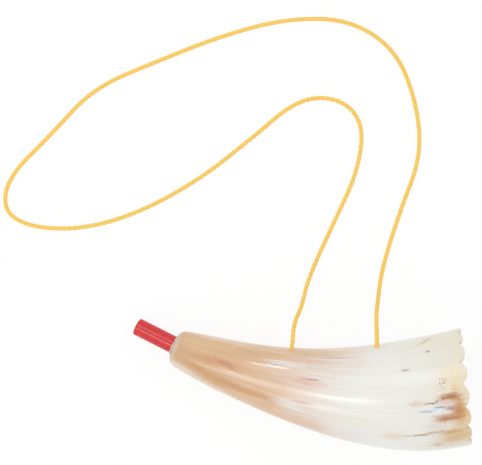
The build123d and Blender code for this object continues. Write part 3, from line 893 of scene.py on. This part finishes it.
# ------------------------------------------------------------------ the horn
@dataclass
class Horn:
    """The hollow horn with its scalloped bell. Sizes are in millimetres, angles in degrees."""

    tip: tuple[float, float] = (-85.5, 24.6)
    span: float = 208.5
    slope: float = -0.389
    bend: float = 0.163
    curl: float = 0.124
    half_widths: tuple[float, float] = (11.8, 38.7)
    flatness: tuple[float, float] = (0.95, 0.86)
    growth: tuple[tuple[float, float], ...] = (
        (0.0, 0.0), (0.1, 0.155), (0.22, 0.288), (0.4, 0.51),
        (0.6, 0.774), (0.78, 0.958), (0.88, 0.99), (1.0, 1.0),
    )  # fmt: skip
    throat: tuple[float, float] = (0.21, 7.0)
    rim_wall: float = 3.2
    hollow_growth: tuple[tuple[float, float], ...] = (
        (0.0, 0.0), (0.09, 0.17), (0.23, 0.41), (0.38, 0.61),
        (0.61, 0.87), (0.88, 0.99), (1.0, 1.0),
    )  # fmt: skip
    droop: float = 7.0
    tip_rounding: tuple[float, float] = (5.2, 7.0)
    rim_share: float = 0.936
    rim_swing: float = 5.5
    rim_lean: float = 5.0
    scallops: int = 16
    scallop_depth: float = 3.6
    scallop_phase: float = 2.0
    # scallops nibbled by hand: swing of their depth, turn from one to the next, phase
    scallop_swing: Triple = (0.14, 2.4, 0.7)
    lip_rounding: float = 0.75
    lip_powers: tuple[float, float] = (0.6, 0.7)
    tip_steps: int = 12
    lip_steps: int = 10
    around: int = 256
    rings_out: int = 150
    rings_in: int = 84
    # share of a wall's rings that stay even, and their distance from the rim in shares of the span
    even_part: float = 0.86
    rim_margin: float = 0.02
    foot_ring: float = 7.1
    socket: tuple[float, float] = (5.35, 18.1)
    airway: float = 3.0
    hole_shares: tuple[float, float] = (0.355, 0.645)
    hole_rise: float = 15.0
    hole_radius: float = 1.7
    hole_sides: int = 32
    drill_start: float = 3.0

    def middle(self, share: Array) -> tuple[Array, Array, Array]:
        """Axis of the horn seen from above.

        Args:
            share: Shares of the span from the tip.

        Returns:
            X, Y and the compass heading in radians at each share.
        """
        x = self.tip[0] + self.span * share
        rise = self.slope * share + self.bend * share**2 + self.curl * share**3
        turn = np.arctan(self.slope + 2 * self.bend * share + 3 * self.curl * share**2)
        return x, self.tip[1] + self.span * rise, turn

    def half_width(self, share: Array) -> Array:
        """Level half width of the outside at each share of the span."""
        small, big = self.half_widths
        return small + (big - small) * through(list(self.growth), share)

    def hollow_half_width(self, share: Array) -> Array:
        """Level half width of the hollow at each share of the span."""
        start, small = self.throat
        grown = through(list(self.hollow_growth), (share - start) / (1 - start))
        return small + (self.half_widths[1] - self.rim_wall - small) * grown

    def flat(self, share: Array) -> Array:
        """Height of the section over its width at each share of the span."""
        return self.flatness[0] + (self.flatness[1] - self.flatness[0]) * share

    def ring(self, share: Array, wide: Array, turn: Array) -> Array:
        """Points of an upright section that stands as high as the outside does.

        Args:
            share: Share of the span of each point.
            wide: Level half width of the ring at each point.
            turn: Angle round the section in radians, 0 on the hollow side, a quarter on top.

        Returns:
            The points, in mm.
        """
        x, y, heading = self.middle(share)
        flat = self.flat(share)
        level = wide * np.cos(turn)
        up = wide * flat * np.sin(turn)
        lean = math.radians(self.droop) * np.clip(1 - share / self.growth[1][0], 0, 1)
        back = -np.sin(lean) * up
        return np.stack([
            x - np.sin(heading) * level + np.cos(heading) * back,
            y + np.cos(heading) * level + np.sin(heading) * back,
            self.half_width(share) * flat + np.cos(lean) * up,
        ], axis=-1)

    def _rim_plane(self) -> tuple[Array, Array]:
        """Origin and outward direction of the slanting plane through the scallops' tips."""
        share = np.array([self.rim_share])
        x, y, _ = self.middle(share)
        z = self.half_width(share) * self.flat(share)
        swing, lean = math.radians(self.rim_swing), math.radians(self.rim_lean)
        out = np.array([math.cos(swing) * math.cos(lean), math.sin(swing) * math.cos(lean),
                        math.sin(lean)])
        return np.array([x[0], y[0], z[0]]), out

    def _rim_shares(self, turn: Array, wide: Callable[[Array], Array]) -> Array:
        """Where each line along the horn meets the scalloped rim.

        Args:
            turn: Angle of each line round the horn, in radians.
            wide: Half width as a function of the share.

        Returns:
            The share of the span at the rim for each line.
        """
        origin, out = self._rim_plane()
        lobe = (turn - math.radians(self.scallop_phase)) * self.scallops / (2 * math.pi) + 0.5
        number = np.floor(lobe)
        across = 2 * (lobe - number) - 1
        swing, turned, phase = self.scallop_swing
        depth = self.scallop_depth * (1 + swing * np.sin(number * turned + phase))
        sizes = self.half_width(np.array([self.rim_share]))[0] * math.pi / self.scallops
        radius = (sizes**2 + depth**2) / (2 * depth)
        drop = radius - np.sqrt(np.maximum(radius**2 - (across * sizes) ** 2, 0))
        low, high = np.full_like(turn, 0.8), np.full_like(turn, 1.05)
        for _ in range(24):
            share = (low + high) / 2
            beyond = (self.ring(share, wide(share), turn) - origin) @ out + drop > 0
            low, high = np.where(beyond, low, share), np.where(beyond, share, high)
        return low

    def _rings(self, turn: Array) -> list[Array]:
        """All rings of the closed skin, from the foot of the tube over the outside to the rim,
        back through the hollow and the airway to the tube's socket.

        Args:
            turn: Angle of each line round the horn, in radians.

        Returns:
            Rings of points, in mm.
        """
        foot, out = np.array(TUBE_FOOT), np.array(TUBE_WAY)
        side = np.array([out[1], -out[0], 0.0]) / math.hypot(out[0], out[1])
        up = np.cross(side, out)

        def circle(radius: float, depth: float) -> Array:
            """Ring square to the tube's own axis, a depth behind its foot."""
            spokes = np.outer(np.cos(turn), side) + np.outer(np.sin(turn), up)
            return foot - out * depth + spokes * radius

        tip, start = self._tip(turn)
        outside = self._wall(turn, start, self.half_width, self.rings_out)
        hollow = self._wall(turn, self.throat[0], self.hollow_half_width, self.rings_in)
        rings = [circle(self.socket[0], 0.0), circle(self.foot_ring, 0.0)]
        rings += tip + outside + self._lip(outside[-1], hollow[-1]) + hollow[::-1]
        # airway and socket
        start = self.throat[0]
        x, y, _ = self.middle(np.array([start]))
        throat = np.array([x[0], y[0], self.half_width(np.array([start]))[0] * self.flat(start)])
        way = float((foot - throat) @ out)
        rings += [circle(self.airway, way), circle(self.airway, self.socket[1]),
                  circle(self.socket[0], self.socket[1])]
        return rings

    def _tip(self, turn: Array) -> tuple[list[Array], float]:
        """Rings of the rounded tip; the rounding ends where it meets the skin's own slope.

        Args:
            turn: Angle of each line round the horn, in radians.

        Returns:
            The rings in mm, and the share of the span where the plain skin begins.
        """
        across, deep = self.tip_rounding
        speed = self.span * math.hypot(1, self.slope)
        near = np.array([0.0, 0.02])
        skin = float(np.diff(self.half_width(near))[0]) / (near[1] * speed)
        last = math.atan(across / (deep * skin))
        end = deep * (1 - math.cos(last))
        wide_end = self.half_width(np.array([end / speed]))[0]
        rings = []
        for angle in np.linspace(0, last, self.tip_steps + 1)[:-1]:
            share = np.full_like(turn, deep * (1 - math.cos(angle)) / speed)
            wide = np.full_like(turn, wide_end - across * (math.sin(last) - math.sin(angle)))
            rings.append(self.ring(share, wide, turn))
        return rings, end / speed

    def _lip(self, outer: Array, inner: Array) -> list[Array]:
        """Rings of the rounded lip.

        Args:
            outer: Last ring of the outside, in mm.
            inner: Last ring of the hollow, in mm.

        Returns:
            Rings of points between the two, in mm.
        """
        _, rim_out = self._rim_plane()
        middle, half = (outer + inner) / 2, (outer - inner) / 2
        round_in, round_up = self.lip_powers
        rings = []
        for angle in np.linspace(0, math.pi, self.lip_steps + 1)[1:-1]:
            way_in = math.copysign(abs(math.cos(angle)) ** round_in, math.cos(angle))
            rise = self.lip_rounding * math.sin(angle) ** round_up
            rings.append(middle + half * way_in + rim_out * rise)
        return rings

    def _wall(self, turn: Array, start: float, wide: Callable[[Array], Array],
              count: int) -> list[Array]:
        """Rings of a wall, square to the axis at first and following the scallops at the rim.

        Args:
            turn: Angle of each line round the horn, in radians.
            start: Share of the span at the first ring.
            wide: Half width as a function of the share.
            count: Spaces between rings.

        Returns:
            Rings of points from the start to the rim, in mm.
        """
        ends = self._rim_shares(turn, wide) - self.lip_rounding / self.span
        level = ends.min() - self.rim_margin
        rings = []
        for k in range(count + 1):
            along = k / count
            even = np.full_like(turn, start + (level - start) * along / self.even_part)
            bent = np.clip((along - self.even_part) / (1 - self.even_part), 0, 1)
            share = even if along <= self.even_part else level * (1 - bent) + ends * bent
            rings.append(self.ring(share, wide(share), turn))
        return rings

    def _drill(self, number: int) -> Piece:
        """Round cutter for a cord hole.

        Args:
            number: 0 for the front hole, 1 for the rear hole.

        Returns:
            The cutter piece.
        """
        share = np.array([self.hole_shares[number]])
        x, y, heading = self.middle(share)
        origin = Vector((x[0], y[0], (self.half_width(share) * self.flat(share))[0]))
        swing, rise = float(heading[0]) + math.pi / 2, math.radians(self.hole_rise)
        way = Vector((math.cos(swing) * math.cos(rise), math.sin(swing) * math.cos(rise),
                      math.sin(rise)))
        side = way.cross(Vector((0, 0, 1))).normalized()
        up = side.cross(way)
        sides = self.hole_sides
        points = [
            tuple((origin + way * reach + (side * math.cos(a) + up * math.sin(a))
                   * self.hole_radius) * MM)
            for reach in (self.drill_start, 2 * self.half_widths[1])
            for a in (2 * math.pi * k / sides for k in range(sides))
        ]
        faces: list[tuple[int, ...]] = [
            (k, (k + 1) % sides, sides + (k + 1) % sides, sides + k) for k in range(sides)
        ]
        faces += [tuple(range(sides))[::-1], tuple(range(sides, 2 * sides))]
        return mesh_piece(f"hole_cutter_{number}", np.array(points), faces)

    def _store_growth(self, mesh: bpy.types.Mesh) -> None:
        """Store where each point lies in the horn's growth.

        Args:
            mesh: The horn's mesh; it gets a vector of the distance along the axis and the place
                round the horn, and the depth under the skin, in metres.
        """
        flat = np.empty(len(mesh.vertices) * 3)
        mesh.vertices.foreach_get("co", flat)
        points = flat.reshape(-1, 3) / MM
        share = (points[:, 0] - self.tip[0]) / self.span
        for _ in range(8):
            x, y, heading = self.middle(share)
            ahead = (points[:, 0] - x) * np.cos(heading) + (points[:, 1] - y) * np.sin(heading)
            share = share + ahead * np.cos(heading) / self.span
        x, y, heading = self.middle(share)
        held = np.clip(share, 0, 1.05)
        wide, flat_there = self.half_width(held), self.flat(held)
        level = (points[:, 1] - y) * np.cos(heading) - (points[:, 0] - x) * np.sin(heading)
        up = points[:, 2] - wide * flat_there
        turn = np.arctan2(up / flat_there, level)
        table = np.linspace(-0.05, 1.05, 400)
        tx, ty, _ = self.middle(table)
        run = np.concatenate([[0], np.cumsum(np.hypot(np.diff(tx), np.diff(ty)))])
        along = np.interp(share, table, run) - np.interp(0.0, table, run)
        girth = PolishedHorn.girth
        growth = np.stack([along, girth * np.cos(turn), girth * np.sin(turn)], axis=-1) * MM
        depth = (wide - np.hypot(level, up / flat_there)) * MM
        mesh.attributes.new(Field.GROWTH.value, "FLOAT_VECTOR", "POINT").data.foreach_set(
            "vector", growth.ravel())
        mesh.attributes.new(Field.DEPTH.value, "FLOAT", "POINT").data.foreach_set("value", depth)

    def build(self, material: Material) -> None:
        """Build the horn as one closed skin, drill its holes, hang it on the horn's body and hide the
        imported horn body.

        Args:
            material: The horn's material.
        """
        n = self.around
        turn = math.radians(self.scallop_phase) + 2 * math.pi * np.arange(n) / n
        rings = self._rings(turn)
        points = np.concatenate(rings) * MM
        faces = []
        for j in range(len(rings)):
            a, b = j * n, (j + 1) % len(rings) * n
            faces += [(a + i, b + i, b + (i + 1) % n, a + (i + 1) % n) for i in range(n)]
        blank = mesh_piece("horn_blank", points, faces)
        for number in range(len(self.hole_shares)):
            cut = blank.modifiers.new(f"Hole {number}", "BOOLEAN")
            cut.operation, cut.solver, cut.object = "DIFFERENCE", "EXACT", self._drill(number)
        cutters = [cut.object for cut in blank.modifiers]
        piece = bake_to_mesh(blank, "scalloped_horn")
        for cutter in cutters:
            bpy.data.objects.remove(cutter)
        piece.data.materials.clear()
        piece.data.materials.append(material)
        piece.data.polygons.foreach_set("material_index", [0] * len(piece.data.polygons))
        piece.data.set_sharp_from_angle(angle=math.radians(42))
        self._store_growth(piece.data)
        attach(piece, "horn")
        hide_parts("horn_body")
        LOG.info("%s: %d faces", piece.name, len(piece.data.polygons))


# ------------------------------------------------------------------ mouthpiece and reed
@dataclass
class Mouthpiece:
    """The red tube with its ring of glue, and the reed inside it. Sizes are in millimetres."""

    neck: float = 5.8
    tube: float = 6.0
    height: float = 1.2
    reach: float = 1.1
    root: float = 0.05
    # unevenness as (size, waves round the tube, phase), and one drip as (size, angle, spread)
    ripples: tuple[Triple, ...] = ((0.18, 3, 0.6), (0.12, 7, 2.1))
    drip: Triple = (0.5, 5.3, 0.5)
    around: int = 120
    profile: int = 12

    def build(self, glue: Material, finishes: dict[str, Material]) -> None:
        """Dress the tube and the reed, and run the bead of glue round the tube's foot.

        Args:
            glue: Material of the bead.
            finishes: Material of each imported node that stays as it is.
        """
        bead = self._bead()
        bead.data.materials.append(glue)
        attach(bead, "horn")
        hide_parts("glue_bead")
        LOG.info("%s: %d faces", bead.name, len(bead.data.polygons))
        for node, material in finishes.items():
            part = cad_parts[node]
            part.data.materials.clear()
            part.data.materials.append(material)
            LOG.info("%s: %s", node, material.name)

    def _bead(self) -> Piece:
        """Hand-run bead of glue, uneven in height and width, with a fuller lump below."""
        out, side, up = frame_of(Vector(TUBE_WAY))
        points, n, m = [], self.around, self.profile
        for i in range(n):
            turn = 2 * math.pi * i / n
            lump = sum(size * math.sin(waves * turn + phase) for size, waves, phase in self.ripples)
            size, angle, spread = self.drip
            lump += size * math.exp(-(((turn - angle) / spread) ** 2))
            high = self.height * (1 + 0.5 * lump)
            wide = self.reach * (1 + 0.45 * lump)
            spoke = side * math.cos(turn) + up * math.sin(turn)
            for k in range(m):
                bow = 0.5 * math.pi * k / (m - 2)
                if k < m - 1:
                    r = self.tube + wide * math.cos(bow) ** 0.8 if k < m - 2 else self.tube
                    h = -self.root + (high + self.root) * math.sin(bow) ** 1.3
                else:
                    r, h = self.neck - 0.1, -self.root
                points.append(tuple((Vector(TUBE_FOOT) + out * h + spoke * r) * MM))
        faces = [
            (i * m + k, i * m + (k + 1) % m, (i + 1) % n * m + (k + 1) % m, (i + 1) % n * m + k)
            for i in range(n) for k in range(m)
        ]
        return mesh_piece("glue_run", np.array(points), faces)


# ------------------------------------------------------------------ studio
@dataclass
class Studio:
    """Plain pale table, soft lamps and the camera straight above. Lengths are in metres."""

    camera_at: Triple = (-0.0402, 0.1022, 1.0)
    lens: float = 108.33
    sensor: float = 36.0
    table: float = 6.0
    table_glow: float = 0.88
    world_light: float = 0.9
    # name, place and size in metres, power in watts
    lamps: tuple[tuple[str, Triple, tuple[float, float], float], ...] = (
        ("key", (-0.53, -0.16, 1.1), (0.14, 0.1), 0.85),
        ("fill", (-0.15, 0.75, 1.2), (0.5, 0.5), 1.5),
        ("strip", (-0.54, -0.62, 0.775), (0.08, 0.16), 0.5),
    )

    def build(self) -> None:
        """Build the camera, the table, the lamps and the world."""
        scene = bpy.context.scene
        scene.view_settings.view_transform = "Standard"
        lens = bpy.data.cameras.new("camera")
        lens.lens, lens.sensor_width, lens.clip_end = self.lens, self.sensor, 50.0
        camera = bpy.data.objects.new("camera", lens)
        camera.location = self.camera_at
        scene.collection.objects.link(camera)
        scene.camera = camera
        self._table()
        for lamp in self.lamps:
            self._lamp(*lamp)
        self._world(scene)

    def _table(self) -> None:
        """White table top that shows as white and keeps a faint shadow."""
        half = self.table / 2
        corners = np.array([(-half, -half, 0), (half, -half, 0), (half, half, 0), (-half, half, 0)])
        top = mesh_piece("table_top", corners, [(0, 1, 2, 3)])
        material, tree, shader = new_material("white_laminate_table")
        feed(tree, shader, i_Base_Color=linear("fafafa"), i_Roughness=0.9, i_Specular_IOR_Level=0.1)
        seen = self._seen(tree)
        glow = add(tree, "Emission", i_Color=(1.0, 1.0, 1.0, 1.0), i_Strength=1.0)
        share = add(tree, "Math", "MULTIPLY", i0=seen, i1=self.table_glow)
        mix = add(tree, "MixShader", i0=share, i1=shader, i2=glow)
        feed(tree, tree.nodes["Material Output"], i0=mix)
        top.data.materials.append(material)

    def _seen(self, tree: Tree) -> Socket:
        """Socket that is 1 for rays from the camera, and in reflections and glass."""
        ray = add(tree, "LightPath")
        gloss = add(tree, "Math", "MAXIMUM", i0=ray.outputs["Is Camera Ray"],
                    i1=ray.outputs["Is Glossy Ray"])
        return add(tree, "Math", "MAXIMUM", i0=gloss, i1=ray.outputs["Is Transmission Ray"]).outputs[0]

    def _lamp(self, name: str, place: Triple, size: tuple[float, float], power: float) -> None:
        """Area lamp that faces the horn.

        Args:
            name: Name of the lamp.
            place: Place in metres.
            size: Width and height in metres.
            power: Power in watts.
        """
        light = bpy.data.lights.new(name, "AREA")
        light.shape, light.size, light.size_y, light.energy = "RECTANGLE", *size, power
        lamp = bpy.data.objects.new(name, light)
        lamp.location = place
        lamp.rotation_euler = (-Vector(place)).to_track_quat("-Z", "Y").to_euler()
        bpy.context.scene.collection.objects.link(lamp)

    def _world(self, scene: bpy.types.Scene) -> None:
        """Even white surroundings.

        Args:
            scene: The scene that gets the world.
        """
        world = bpy.data.worlds.new("white_room")
        world.use_nodes = True
        tree = world.node_tree
        strength = add(tree, "MapRange", i_Value=self._seen(tree), i_To_Min=self.world_light,
                       i_To_Max=1.0)
        feed(tree, tree.nodes["Background"], i_Color=(1.0, 1.0, 1.0, 1.0), i_Strength=strength)
        scene.world = world


def main() -> None:
    """Build the whole bugle and its studio."""
    logging.basicConfig(level=logging.INFO, format="%(message)s")
    Studio().build()
    cord_finish = BraidedCord().build()
    NeckCord().build(BraidTree(), cord_finish)
    Horn().build(PolishedHorn().build())
    abs_plastic = MouldedPlastic("moulded_abs", "d8d2c4", "c4bca9", 0.5, 1.53).build()
    Mouthpiece().build(
        DriedGlue().build(),
        {
            "mouthpiece_tube": MouldedPlastic(
                "extruded_red_acrylic", "d8282c", "c4202a", 0.2, 1.49, 0.08).build(),
            "reed_shallot": abs_plastic,
            "reed_wedge": abs_plastic,
            "reed_tongue": RolledBrass().build(),
        },
    )


if __name__ == "__main__":
    main()
